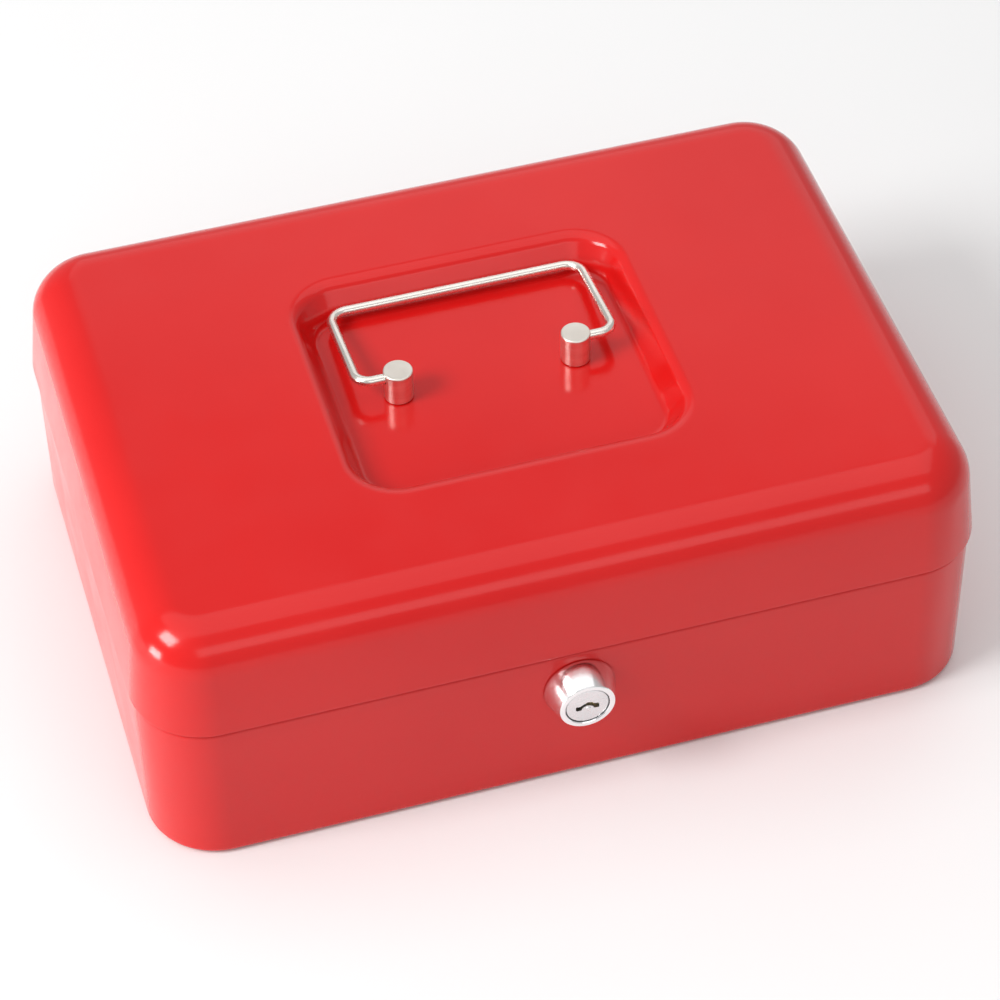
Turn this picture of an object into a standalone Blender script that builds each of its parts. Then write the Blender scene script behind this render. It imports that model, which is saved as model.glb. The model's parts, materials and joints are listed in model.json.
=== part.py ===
"""Steel cash box: drawn base and lid, folding wire handle in a recess, cam lock, coin tray.

Frame: origin at the centre of the base's underside, +X to the right along the front,
+Y to the back, +Z up. Metres.
"""
import math

import bmesh
import bpy
from mathutils import Matrix, Vector

MM = 0.001
GAP = 0.3 * MM            # clearance between pieces that touch on the real box

# Box body
LID_WIDTH = 250 * MM
LID_DEPTH = 180 * MM
SEAM_Z = 52.5 * MM        # lower edge of the lid
LID_TOP_Z = 86 * MM
SHEET = 0.8 * MM
LID_CORNER = 22 * MM      # plan radius of the lid's corners at the seam
LID_DRAFT = math.atan(3.7 / 33.5)    # the lid's walls lean in by this angle
LID_FILLET = 14 * MM      # radius between the lid's top and its walls
LID_HEM = 5 * MM          # height of the folded edge inside the lid
LID_OVERHANG = 1 * MM     # the lid stands this far outside the base
BASE_BOTTOM_RADIUS = 2.5 * MM
RIM_STEP = 2.2 * MM       # the base wall steps in above the seam
RIM_Z = SEAM_Z + 5 * MM   # top of the base's rim, inside the lid
RIM_FLANGE = 2.2 * MM     # the rim turns inwards by this much
RIM_LIP = 2.5 * MM        # and then down by this much

# Recess in the lid
RECESS_DEPTH = 9.5 * MM
RECESS_RIM = Vector((52.5 * MM, 47 * MM))
RECESS_FLOOR = Vector((44.5 * MM, 35.8 * MM))
RECESS_RIM_CORNER = 17 * MM
RECESS_FLOOR_CORNER = 9 * MM
RECESS_RIM_ROUND = 4.5 * MM
RECESS_FLOOR_ROUND = 2.5 * MM

# Handle, its posts and their screws
POST_X = 27 * MM
POST_Y = 1.5 * MM
POST_RADIUS = 4.4 * MM
POST_TOP_Z = 86.8 * MM
POST_CHAMFER = 0.4 * MM
PIVOT_Z = 84.5 * MM
WIRE_RADIUS = 1.5 * MM
WIRE_HOLE_RADIUS = 1.7 * MM
WIRE_END_X = 24.8 * MM
ARM_X = 39 * MM
ARM_LENGTH = 36.2 * MM
BAR_BEND = 5.5 * MM
END_BEND = 4.5 * MM
HANDLE_TILT = math.radians(6.8)
SCREW_RADIUS = 1.9 * MM
SCREW_DEPTH = 4.5 * MM
SCREW_HEAD_RADIUS = 3.6 * MM
SCREW_HEAD_HEIGHT = 2.4 * MM
WASHER_RADIUS = 4.6 * MM
WASHER_THICKNESS = 0.9 * MM

# Hinges
HINGE_X = 75 * MM
HINGE_LENGTH = 40 * MM
HINGE_AXIS_Y = 89.4 * MM
KNUCKLE_OUTER = 2.5 * MM
KNUCKLE_INNER = 1.5 * MM
PIN_RADIUS = 1.3 * MM
LEAF_HEIGHT = 14 * MM
LID_KNUCKLE_LENGTH = 15 * MM
KNUCKLE_GAP = 0.4 * MM
CURL_END = 115            # degrees; the roll stops just short of its own strip
NOTCH_HEIGHT = 3.3 * MM   # from the hinge axis to the cut edges of both walls

# Lock
LOCK_Z = 38 * MM
HEAD_LENGTH = 8.5 * MM
HEAD_WALL_RADIUS = 10.5 * MM
HEAD_FACE_RADIUS = 8.25 * MM
HEAD_EDGE = 0.35 * MM     # chamfer between the head's cone and its face
BORE_EDGE = 0.3 * MM      # chamfer where the bore meets the face
HEAD_FOOT = 1.2 * MM      # straight part of the head next to the wall
BARREL_RADIUS = 7.9 * MM
BARREL_END_Y = -82 * MM
BORE_RADIUS = 6.55 * MM
PLUG_RADIUS = 6.3 * MM
PLUG_EDGE = 0.25 * MM     # chamfer at the plug's face
PLUG_RECESS = 0.35 * MM   # the plug's face lies this far behind the head's face
NUT_FLATS = 20 * MM
NUT_THICKNESS = 2.5 * MM
CAM_THICKNESS = 1.2 * MM
CAM_LENGTH = 13 * MM
CAM_HALF_WIDTH = 4.5 * MM
CAM_SQUARE = 5.4 * MM
CAM_SCREW_RADIUS = 1.5 * MM
KEYWAY_WIDTH = 7 * MM
KEYWAY_HEIGHT = 1.4 * MM
KEYWAY_DEPTH = 13.5 * MM
WAFER_COUNT = 4
WAFER_FIRST = 3.2 * MM    # from the head's face to the first wafer's middle
WAFER_PITCH = 3 * MM
WAFER_THICKNESS = 1 * MM
WAFER_PLAY = 0.25 * MM    # between a wafer and its slot
WAFER_WIDTH = 4.6 * MM
WAFER_TIP_X = -5.7 * MM
WAFER_HEEL_X = 3.2 * MM
SLOT_END_X = 5.6 * MM     # blind end of each wafer slot, where the spring sits
SPRING_RADIUS = 0.6 * MM
SPRING_WIRE = 0.14 * MM
SPRING_TURNS = 3

# Strike that hangs from the lid beside the lock
STRIKE_X = 14 * MM
STRIKE_WIDTH = 10 * MM
STRIKE_THICKNESS = 1 * MM
STRIKE_TOP_Z = 72 * MM
STRIKE_SHELF_Z = 61 * MM
STRIKE_LIP_Z = 33 * MM
TONGUE_Y = -82.9 * MM
STRIKE_LIP = 3.9 * MM

# Coin tray
TRAY_HALF_X = 118.9 * MM
TRAY_FRONT_Y = -75 * MM
TRAY_BACK_Y = 75 * MM
TRAY_BOTTOM_Z = 25 * MM
TRAY_WALL = 1.8 * MM
TRAY_FLANGE = 2 * MM      # at the two ends, where the tray hangs
TRAY_RIM = 0.8 * MM       # along the front and the back
TRAY_CORNER = 18 * MM
TRAY_DRAFT = 1.5 * MM
COIN_CUPS = 5
CUP_SPLIT_Y = 0
CUP_SCOOP = 10 * MM

CORNER_STEPS = 8
ROUND_STEPS = 32

BASE_INSET = LID_OVERHANG
BASE_FRONT_Y = -LID_DEPTH / 2 + BASE_INSET
RECESS_FLOOR_Z = LID_TOP_Z - RECESS_DEPTH


# Building blocks

def clear_scene():
    for obj in list(bpy.data.objects):
        bpy.data.objects.remove(obj, do_unlink=True)


def make_material(name, colour, roughness, metallic):
    material = bpy.data.materials.new(name)
    material.use_nodes = True
    shader = material.node_tree.nodes["Principled BSDF"]
    shader.inputs["Base Color"].default_value = (*colour, 1)
    shader.inputs["Roughness"].default_value = roughness
    shader.inputs["Metallic"].default_value = metallic
    return material


RED_PAINT = ((0.72, 0.03, 0.03), 0.25, 0)
NICKEL = ((0.75, 0.72, 0.67), 0.25, 1)
CHROME = ((0.82, 0.82, 0.84), 0.12, 1)
ZINC = ((0.6, 0.61, 0.63), 0.4, 1)
BRASS = ((0.78, 0.6, 0.28), 0.3, 1)
BLACK_PLASTIC = ((0.03, 0.03, 0.032), 0.45, 0)


def finish_object(name, bm, look, smooth_angle=math.radians(35)):
    """Turns a bmesh into a named object with its own material."""
    bmesh.ops.recalc_face_normals(bm, faces=bm.faces)
    mesh = bpy.data.meshes.new(name)
    bm.to_mesh(mesh)
    bm.free()
    mesh.shade_smooth()
    mesh.set_sharp_from_angle(angle=smooth_angle)
    obj = bpy.data.objects.new(name, mesh)
    bpy.context.collection.objects.link(obj)
    if look:
        obj.data.materials.append(make_material(name, *look))
    return obj


def hide_cutter(obj):
    obj.hide_render = True
    obj.display_type = "WIRE"


def cut(target, cutters):
    """Subtracts each cutter from the target with a live Boolean modifier."""
    for cutter in cutters:
        hide_cutter(cutter)
        modifier = target.modifiers.new("cut_" + cutter.name, "BOOLEAN")
        modifier.operation = "DIFFERENCE"
        modifier.solver = "EXACT"
        modifier.object = cutter


def rounded_rect(half_x, half_y, radius, z, centre=(0, 0), steps=CORNER_STEPS):
    """Points of a level rounded rectangle, counter-clockwise seen from above."""
    radius = max(radius, 0.01 * MM)
    points = []
    for quarter, (sx, sy) in enumerate(((1, 1), (-1, 1), (-1, -1), (1, -1))):
        cx = centre[0] + sx * (half_x - radius)
        cy = centre[1] + sy * (half_y - radius)
        for step in range(steps + 1):
            angle = math.pi / 2 * (quarter + step / steps)
            points.append(Vector((cx + radius * math.cos(angle), cy + radius * math.sin(angle), z)))
    return points


def stack_loops(loops):
    """Skins a list of equal loops, with the first and the last closed by a face."""
    bm = bmesh.new()
    rings = [[bm.verts.new(point) for point in loop] for loop in loops]
    for lower, upper in zip(rings, rings[1:]):
        count = len(lower)
        for i in range(count):
            j = (i + 1) % count
            bm.faces.new((lower[i], lower[j], upper[j], upper[i]))
    bm.faces.new(rings[0][::-1])
    bm.faces.new(rings[-1])
    return bm


def arc(centre, radius, start, end, steps):
    """Points of an arc in a 2-D section; angles in degrees."""
    angles = [math.radians(start + (end - start) * i / steps) for i in range(steps + 1)]
    return [(centre[0] + radius * math.cos(a), centre[1] + radius * math.sin(a)) for a in angles]


def box(name, low, high, look=None):
    bm = bmesh.new()
    bmesh.ops.create_cube(bm, size=1)
    low, high = Vector(low), Vector(high)
    for vert in bm.verts:
        vert.co = Vector([low[i] + (vert.co[i] + 0.5) * (high[i] - low[i]) for i in range(3)])
    return finish_object(name, bm, look)


def lathe(name, section, look, origin, axis="Y", steps=ROUND_STEPS):
    """Turns a closed section of (radius, distance) points about an axis through the origin.

    A section that touches the axis gives a solid piece, any other gives a ring.
    """
    bm = bmesh.new()
    rings = []
    for radius, along in section:
        if radius < 1e-9:
            rings.append([bm.verts.new((0, 0, along))])
            continue
        angles = [2 * math.pi * i / steps for i in range(steps)]
        rings.append([bm.verts.new((radius * math.cos(a), radius * math.sin(a), along)) for a in angles])
    solid = section[0][0] < 1e-9
    pairs = list(zip(rings, rings[1:]))
    if not solid:
        pairs.append((rings[-1], rings[0]))
    for first, second in pairs:
        for i in range(steps):
            j = (i + 1) % steps
            corners = [first[i % len(first)], first[j % len(first)]]
            corners += [second[j % len(second)], second[i % len(second)]]
            bm.faces.new(list(dict.fromkeys(corners)))
    if axis == "Y":
        bmesh.ops.rotate(bm, matrix=Matrix.Rotation(-math.pi / 2, 3, "X"), verts=bm.verts)
    elif axis == "X":
        bmesh.ops.rotate(bm, matrix=Matrix.Rotation(math.pi / 2, 3, "Y"), verts=bm.verts)
    obj = finish_object(name, bm, look)
    obj.location = origin
    return obj


def cylinder(name, radius, low, high, origin, axis, look=None, steps=ROUND_STEPS):
    section = [(0, low), (radius, low), (radius, high), (0, high)]
    return lathe(name, section, look, origin, axis, steps)


def extrude_outline(name, outline, low, high, look, axis="X"):
    """Prism of a closed 2-D outline; the outline is (y, z) for axis X and (x, z) for axis Y."""
    def place(point, along):
        if axis == "X":
            return (along, point[0], point[1])
        return (point[0], along, point[1])

    bm = bmesh.new()
    first = [bm.verts.new(place(point, low)) for point in outline]
    second = [bm.verts.new(place(point, high)) for point in outline]
    count = len(outline)
    for i in range(count):
        j = (i + 1) % count
        bm.faces.new((first[i], first[j], second[j], second[i]))
    bm.faces.new(first[::-1])
    bm.faces.new(second)
    return finish_object(name, bm, look)


def wire(name, points, radius, look, resolution):
    """Round wire along a list of points, with closed ends."""
    curve = bpy.data.curves.new(name, "CURVE")
    curve.dimensions = "3D"
    curve.bevel_depth = radius
    curve.bevel_resolution = resolution
    curve.use_fill_caps = True
    spline = curve.splines.new("POLY")
    spline.points.add(len(points) - 1)
    for target, point in zip(spline.points, points):
        target.co = (*point, 1)
    spline.use_smooth = True
    obj = bpy.data.objects.new(name, curve)
    bpy.context.collection.objects.link(obj)
    curve.materials.append(make_material(name, *look))
    return obj


def pivot(name, location):
    """Empty on a joint's axis."""
    empty = bpy.data.objects.new(name, None)
    empty.location = location
    empty.empty_display_size = 10 * MM
    bpy.context.collection.objects.link(empty)
    return empty


def attach(children, parent):
    """Parents pieces without moving them."""
    bpy.context.view_layer.update()
    for child in children:
        child.parent = parent
        child.matrix_parent_inverse = parent.matrix_world.inverted()


# Lid

def box_loop(inset, z):
    """Loop of the box's plan, moved inwards from the lid's outer wall."""
    return rounded_rect(LID_WIDTH / 2 - inset, LID_DEPTH / 2 - inset, LID_CORNER - inset, z)


def recess_section(skin):
    """Recess wall from floor to rim, as (share of the way from floor to rim, z).

    The skin is 0 for the upper face and the sheet's thickness for the lower one. The wall is a
    straight slope between a hollow round at the floor and a full round at the rim, at the one
    angle that is tangent to both.
    """
    run = (RECESS_RIM.x + RECESS_RIM.y - RECESS_FLOOR.x - RECESS_FLOOR.y) / 2
    rounds = RECESS_FLOOR_ROUND + RECESS_RIM_ROUND
    tilt = math.atan2(rounds - RECESS_DEPTH, run)
    slope = math.degrees(math.asin(rounds / math.hypot(run, rounds - RECESS_DEPTH)) - tilt)
    hollow = RECESS_FLOOR_ROUND + skin
    full = RECESS_RIM_ROUND - skin
    lower = arc((0, RECESS_FLOOR_Z - skin + hollow), hollow, -90, -90 + slope, 3)
    upper = arc((run, LID_TOP_Z - skin - full), full, 90 + slope, 90, 4)
    return [(along / run, z) for along, z in lower + upper]


def recess_loop(share, z):
    half = RECESS_FLOOR.lerp(RECESS_RIM, share)
    corner = RECESS_FLOOR_CORNER + (RECESS_RIM_CORNER - RECESS_FLOOR_CORNER) * share
    return rounded_rect(half.x, half.y, corner, z)


def wall_inset(z, skin=0):
    """How far the lid's leaning wall stands inside its lower edge; skin moves to its inner face."""
    return (z - SEAM_Z) * math.tan(LID_DRAFT) + skin / math.cos(LID_DRAFT)


def edge_round(skin, steps):
    """Round between the lid's top and its leaning walls, from the top outwards, as (inset, z)."""
    centre_z = LID_TOP_Z - LID_FILLET
    tangent_z = centre_z + LID_FILLET * math.sin(LID_DRAFT)
    centre = (wall_inset(tangent_z) + LID_FILLET * math.cos(LID_DRAFT), centre_z)
    return arc(centre, LID_FILLET - skin, 90, 180 - math.degrees(LID_DRAFT), steps)


def build_lid_shell():
    loops = [recess_loop(share, z) for share, z in recess_section(0)]
    loops += [box_loop(inset, z) for inset, z in edge_round(0, 6)]
    hem_z = SEAM_Z + LID_HEM
    loops += [box_loop(0, SEAM_Z), box_loop(wall_inset(SEAM_Z, 2 * SHEET), SEAM_Z)]
    loops += [box_loop(wall_inset(hem_z, skin * SHEET), hem_z) for skin in (2, 1)]
    loops += [box_loop(inset, z) for inset, z in reversed(edge_round(SHEET, 6))]
    loops += [recess_loop(share, z) for share, z in reversed(recess_section(SHEET))]
    lid = finish_object("lid_shell", stack_loops(loops), RED_PAINT)
    cutters = [hinge_notch("lid", side, SEAM_Z - NOTCH_HEIGHT, SEAM_Z + NOTCH_HEIGHT) for side in (-1, 1)]
    for side in (-1, 1):
        hole = cylinder(f"screw_hole_{side}", SCREW_RADIUS + GAP, -2 * MM, 2 * MM,
                        (side * POST_X, POST_Y, RECESS_FLOOR_Z), "Z", steps=16)
        cutters.append(hole)
    cut(lid, cutters)
    return lid


def hinge_notch(owner, side, low_z, high_z):
    """Cutter that opens a rear wall around one hinge."""
    reach = HINGE_LENGTH / 2 + 2 * GAP
    low = (side * HINGE_X - reach, HINGE_AXIS_Y - 3 * KNUCKLE_OUTER, low_z)
    high = (side * HINGE_X + reach, HINGE_AXIS_Y + 2 * KNUCKLE_OUTER, high_z)
    return box(f"{owner}_notch_{side}", low, high)


# Base

def build_base_shell():
    bottom = BASE_BOTTOM_RADIUS
    inner_bottom = bottom - SHEET
    rim = BASE_INSET + RIM_STEP
    lip = rim + RIM_FLANGE
    shoulder_z = SEAM_Z - GAP
    section = arc((BASE_INSET + bottom, bottom), bottom, -90, -180, 3)
    section += [(BASE_INSET, shoulder_z), (rim, shoulder_z), (rim, RIM_Z), (lip, RIM_Z)]
    section += [(lip, RIM_Z - RIM_LIP), (lip - SHEET, RIM_Z - RIM_LIP), (lip - SHEET, RIM_Z - SHEET)]
    section += [(rim + SHEET, RIM_Z - SHEET), (rim + SHEET, shoulder_z - SHEET)]
    section += [(BASE_INSET + SHEET, shoulder_z - SHEET)]
    section += reversed(arc((BASE_INSET + bottom, bottom), inner_bottom, -90, -180, 3))
    loops = [box_loop(inset, z) for inset, z in section]
    base = finish_object("base_shell", stack_loops(loops), RED_PAINT)
    cutters = [hinge_notch("base", side, SEAM_Z - NOTCH_HEIGHT, RIM_Z + NOTCH_HEIGHT) for side in (-1, 1)]
    hole = cylinder("lock_hole", BARREL_RADIUS + GAP, -4 * MM, 4 * MM, (0, BASE_FRONT_Y, LOCK_Z), "Y")
    cut(base, cutters + [hole])
    return base


# Hinges

def leaf_outline(up):
    """Section of a hinge leaf: a flat strip whose end is rolled round the pin.

    The strip lies on the inner side of the axis. It runs up for the lid, leaning with the lid's
    wall, and straight down for the base.
    """
    sign = 1 if up else -1
    lean = LEAF_HEIGHT * math.tan(LID_DRAFT) if up else 0
    curl_end = 360 + CURL_END
    outer = arc((0, 0), KNUCKLE_OUTER, 180, curl_end, 12)
    inner = arc((0, 0), KNUCKLE_INNER, curl_end, 180, 12)
    points = [(-KNUCKLE_OUTER - lean, LEAF_HEIGHT)] + outer
    points += inner + [(-KNUCKLE_INNER - lean, LEAF_HEIGHT)]
    return [(HINGE_AXIS_Y + y, SEAM_Z + sign * z) for y, z in points]


def build_hinge(side, word):
    centre = side * HINGE_X
    half = HINGE_LENGTH / 2
    middle = LID_KNUCKLE_LENGTH / 2
    clear = KNUCKLE_OUTER + GAP
    lid_leaf = extrude_outline(f"hinge_lid_leaf_{word}", leaf_outline(True),
                               centre - half, centre + half, ZINC)
    base_leaf = extrude_outline(f"hinge_base_leaf_{word}", leaf_outline(False),
                                centre - half, centre + half, ZINC)
    low_y, high_y = HINGE_AXIS_Y - 2 * KNUCKLE_OUTER, HINGE_AXIS_Y + 2 * KNUCKLE_OUTER
    lid_cutters = []
    for end in (-1, 1):
        spans = sorted((centre + end * middle, centre + end * (half + 2 * MM)))
        lid_cutters.append(box(f"lid_knuckle_gap_{word}_{end}", (spans[0], low_y, SEAM_Z - clear),
                               (spans[1], high_y, SEAM_Z + clear)))
    cut(lid_leaf, lid_cutters)
    reach = middle + KNUCKLE_GAP
    cut(base_leaf, [box(f"base_knuckle_gap_{word}", (centre - reach, low_y, SEAM_Z - clear),
                        (centre + reach, high_y, SEAM_Z + clear))])
    pin = cylinder(f"hinge_pin_{word}", PIN_RADIUS, -half, half, (centre, HINGE_AXIS_Y, SEAM_Z), "X",
                   NICKEL, steps=16)
    return lid_leaf, base_leaf, pin


# Handle

def bend(corner, before, after, radius, steps=6):
    """Round between two straight runs that meet at a corner; before and after are unit vectors."""
    start = corner - before * radius
    centre = start + after * radius
    points = []
    for step in range(steps + 1):
        angle = math.pi / 2 * step / steps
        points.append(centre - after * radius * math.cos(angle) + before * radius * math.sin(angle))
    return points


def build_handle():
    """Bail of round wire, lying back from its pivots; its own origin is on the pivot axis."""
    right, back = Vector((1, 0, 0)), Vector((0, 1, 0))
    points = [Vector((-WIRE_END_X, 0, 0))]
    points += bend(Vector((-ARM_X, 0, 0)), -right, back, END_BEND)
    points += bend(Vector((-ARM_X, ARM_LENGTH, 0)), back, right, BAR_BEND)
    points += bend(Vector((ARM_X, ARM_LENGTH, 0)), right, -back, BAR_BEND)
    points += bend(Vector((ARM_X, 0, 0)), -back, -right, END_BEND)
    points.append(Vector((WIRE_END_X, 0, 0)))
    handle = wire("handle", points, WIRE_RADIUS, NICKEL, 4)
    handle.location = (0, POST_Y, PIVOT_Z)
    handle.rotation_euler.x = -HANDLE_TILT
    return handle


def build_post(side, word):
    """Round post that stands in the recess, cross-drilled for the wire and tapped from below."""
    height = POST_TOP_Z - RECESS_FLOOR_Z - GAP
    rim = POST_RADIUS - POST_CHAMFER
    bore = SCREW_RADIUS + GAP
    section = [(0, SCREW_DEPTH), (bore, SCREW_DEPTH), (bore, 0), (POST_RADIUS, 0)]
    section += [(POST_RADIUS, height - POST_CHAMFER), (rim, height), (0, height)]
    origin = Vector((side * POST_X, POST_Y, RECESS_FLOOR_Z + GAP))
    post = lathe(f"handle_post_{word}", section, NICKEL, origin, "Z")
    blind = side * (WIRE_END_X - 2 * GAP - POST_X)
    ends = sorted((blind, side * 2 * POST_RADIUS))
    hole = cylinder(f"wire_hole_{word}", WIRE_HOLE_RADIUS, ends[0], ends[1],
                    (origin.x, POST_Y, PIVOT_Z), "X", steps=16)
    cut(post, [hole])
    return post


def build_post_fixing(side, word):
    """Washer and pan-head screw that hold a post from inside the lid."""
    under = RECESS_FLOOR_Z - SHEET - GAP
    washer = lathe(f"post_washer_{word}",
                   [(SCREW_RADIUS + GAP, -WASHER_THICKNESS), (WASHER_RADIUS, -WASHER_THICKNESS),
                    (WASHER_RADIUS, 0), (SCREW_RADIUS + GAP, 0)],
                   ZINC, (side * POST_X, POST_Y, under), "Z", steps=24)
    head_top = under - WASHER_THICKNESS - GAP
    shank_top = RECESS_FLOOR_Z + GAP + SCREW_DEPTH - 2 * GAP
    low = -SCREW_HEAD_HEIGHT
    section = [(0, low), (0.6 * SCREW_HEAD_RADIUS, low), (SCREW_HEAD_RADIUS, 0.5 * low),
               (SCREW_HEAD_RADIUS, 0), (SCREW_RADIUS, 0), (SCREW_RADIUS, shank_top - head_top),
               (0, shank_top - head_top)]
    screw = lathe(f"post_screw_{word}", section, ZINC, (side * POST_X, POST_Y, head_top), "Z", steps=24)
    slot_centre = (side * POST_X, POST_Y, head_top + low)
    cut(screw, cross_slots(f"post_{word}", slot_centre, "Z", SCREW_HEAD_RADIUS))
    return washer, screw


def cross_slots(name, centre, axis, head_radius):
    """Two thin boxes that cut a cross recess into a screw head; the head faces -Z or +Y."""
    reach, half, depth = 0.45 * head_radius, 0.35 * MM, 1.2 * MM
    centre = Vector(centre)
    slots = []
    for index, (a, b) in enumerate(((reach, half), (half, reach))):
        if axis == "Z":
            extent = Vector((a, b, depth))
        else:
            extent = Vector((a, depth, b))
        slots.append(box(f"{name}_slot_{index}", centre - extent, centre + extent))
    return slots


# Strike

def build_strike():
    """Bent plate welded inside the lid's front: flange, shelf, tongue and lip."""
    t = STRIKE_THICKNESS

    def wall(z):
        return -LID_DEPTH / 2 + wall_inset(z, SHEET + GAP)

    shelf_z = STRIKE_SHELF_Z - t
    outline = [(wall(STRIKE_TOP_Z), STRIKE_TOP_Z), (wall(shelf_z), shelf_z), (TONGUE_Y, shelf_z),
               (TONGUE_Y, STRIKE_LIP_Z - t), (TONGUE_Y + STRIKE_LIP, STRIKE_LIP_Z - t),
               (TONGUE_Y + STRIKE_LIP, STRIKE_LIP_Z), (TONGUE_Y + t, STRIKE_LIP_Z),
               (TONGUE_Y + t, STRIKE_SHELF_Z), (wall(STRIKE_SHELF_Z) + t, STRIKE_SHELF_Z),
               (wall(STRIKE_TOP_Z) + t, STRIKE_TOP_Z)]
    return extrude_outline("lid_strike", outline, STRIKE_X - STRIKE_WIDTH / 2,
                           STRIKE_X + STRIKE_WIDTH / 2, ZINC)


# Lock

def build_lock_body():
    """Turned body: conical head outside the wall and a barrel through it."""
    face = -HEAD_LENGTH
    section = [(BORE_RADIUS, face + BORE_EDGE), (BORE_RADIUS + BORE_EDGE, face),
               (HEAD_FACE_RADIUS - HEAD_EDGE, face), (HEAD_FACE_RADIUS, face + HEAD_EDGE),
               (HEAD_WALL_RADIUS, -HEAD_FOOT), (HEAD_WALL_RADIUS, -GAP), (BARREL_RADIUS, -GAP),
               (BARREL_RADIUS, BARREL_END_Y - BASE_FRONT_Y), (BORE_RADIUS, BARREL_END_Y - BASE_FRONT_Y)]
    return lathe("lock_body", section, CHROME, (0, BASE_FRONT_Y, LOCK_Z), "Y")


def build_lock_fixing():
    """Washer and hexagon nut on the barrel, behind the front wall."""
    wall = BASE_FRONT_Y + SHEET
    bore = BARREL_RADIUS + GAP
    washer_outer = NUT_FLATS / 2 + 0.6 * MM
    washer = lathe("lock_washer", [(bore, 0), (washer_outer, 0), (washer_outer, WASHER_THICKNESS),
                                   (bore, WASHER_THICKNESS)], ZINC, (0, wall + GAP, LOCK_Z), "Y")
    corner = NUT_FLATS / math.sqrt(3)
    points = [(corner * math.cos(math.radians(a)), LOCK_Z + corner * math.sin(math.radians(a)))
              for a in range(0, 360, 60)]
    nut_y = wall + 2 * GAP + WASHER_THICKNESS
    nut = extrude_outline("lock_nut", points, nut_y, nut_y + NUT_THICKNESS, ZINC, "Y")
    hole = cylinder("nut_bore", bore, -NUT_THICKNESS, 2 * NUT_THICKNESS, (0, nut_y, LOCK_Z), "Y")
    cut(nut, [hole])
    return washer, nut


def wafer_y(index):
    """Middle of a wafer along the lock's axis."""
    return BASE_FRONT_Y - HEAD_LENGTH + WAFER_FIRST + index * WAFER_PITCH


def build_plug():
    """Plug with a keyway, wafer slots, and a square tail for the cam."""
    face = BASE_FRONT_Y - HEAD_LENGTH + PLUG_RECESS
    shoulder = BARREL_END_Y + GAP
    bore = CAM_SCREW_RADIUS + 0.2 * MM
    bore_depth = 4 * MM
    tail_end = shoulder + GAP + CAM_THICKNESS - GAP / 2
    length = shoulder - face
    section = [(0, 0), (PLUG_RADIUS - PLUG_EDGE, 0), (PLUG_RADIUS, PLUG_EDGE),
               (PLUG_RADIUS, length), (0, length)]
    plug = lathe("lock_plug", section, CHROME, (0, face, LOCK_Z), "Y")
    tail = box("plug_tail", (-CAM_SQUARE / 2, shoulder - 1 * MM, LOCK_Z - CAM_SQUARE / 2),
               (CAM_SQUARE / 2, tail_end, LOCK_Z + CAM_SQUARE / 2))
    hide_cutter(tail)
    join = plug.modifiers.new("tail", "BOOLEAN")
    join.operation = "UNION"
    join.solver = "EXACT"
    join.object = tail
    half = (KEYWAY_WIDTH / 2, KEYWAY_HEIGHT / 2)
    cutters = [box("keyway", (-half[0], face - 1 * MM, LOCK_Z - half[1]),
                   (half[0], face + KEYWAY_DEPTH, LOCK_Z + half[1])),
               cylinder("cam_screw_bore", bore, -bore_depth, 2 * MM, (0, tail_end, LOCK_Z), "Y", steps=16)]
    for index in range(WAFER_COUNT):
        reach = WAFER_THICKNESS / 2 + WAFER_PLAY
        tall = WAFER_WIDTH / 2 + WAFER_PLAY
        middle = wafer_y(index)
        cutters.append(box(f"wafer_slot_{index}", (-2 * PLUG_RADIUS, middle - reach, LOCK_Z - tall),
                           (SLOT_END_X, middle + reach, LOCK_Z + tall)))
    cut(plug, cutters)
    return plug


def build_wafer(index):
    """Flat wafer with a window for the key, and the spring that pushes it out of the plug."""
    middle = wafer_y(index)
    wafer = box(f"wafer_{index + 1}", (WAFER_TIP_X, middle - WAFER_THICKNESS / 2, LOCK_Z - WAFER_WIDTH / 2),
                (WAFER_HEEL_X, middle + WAFER_THICKNESS / 2, LOCK_Z + WAFER_WIDTH / 2), BRASS)
    window = box(f"window_{index}", (-4.2 * MM, middle - WAFER_THICKNESS, LOCK_Z - KEYWAY_HEIGHT / 2),
                 (2 * MM, middle + WAFER_THICKNESS, LOCK_Z + KEYWAY_HEIGHT / 2))
    cut(wafer, [window])
    start = WAFER_HEEL_X + SPRING_WIRE + 0.1 * MM
    end = SLOT_END_X - SPRING_WIRE - 0.1 * MM
    steps = 10 * SPRING_TURNS
    points = []
    for step in range(steps + 1):
        angle = 2 * math.pi * SPRING_TURNS * step / steps
        points.append(Vector((start + (end - start) * step / steps,
                              middle + SPRING_RADIUS * 0.7 * math.cos(angle),
                              LOCK_Z + SPRING_RADIUS * math.sin(angle))))
    spring = wire(f"wafer_spring_{index + 1}", points, SPRING_WIRE, ZINC, 1)
    return wafer, spring


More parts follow.
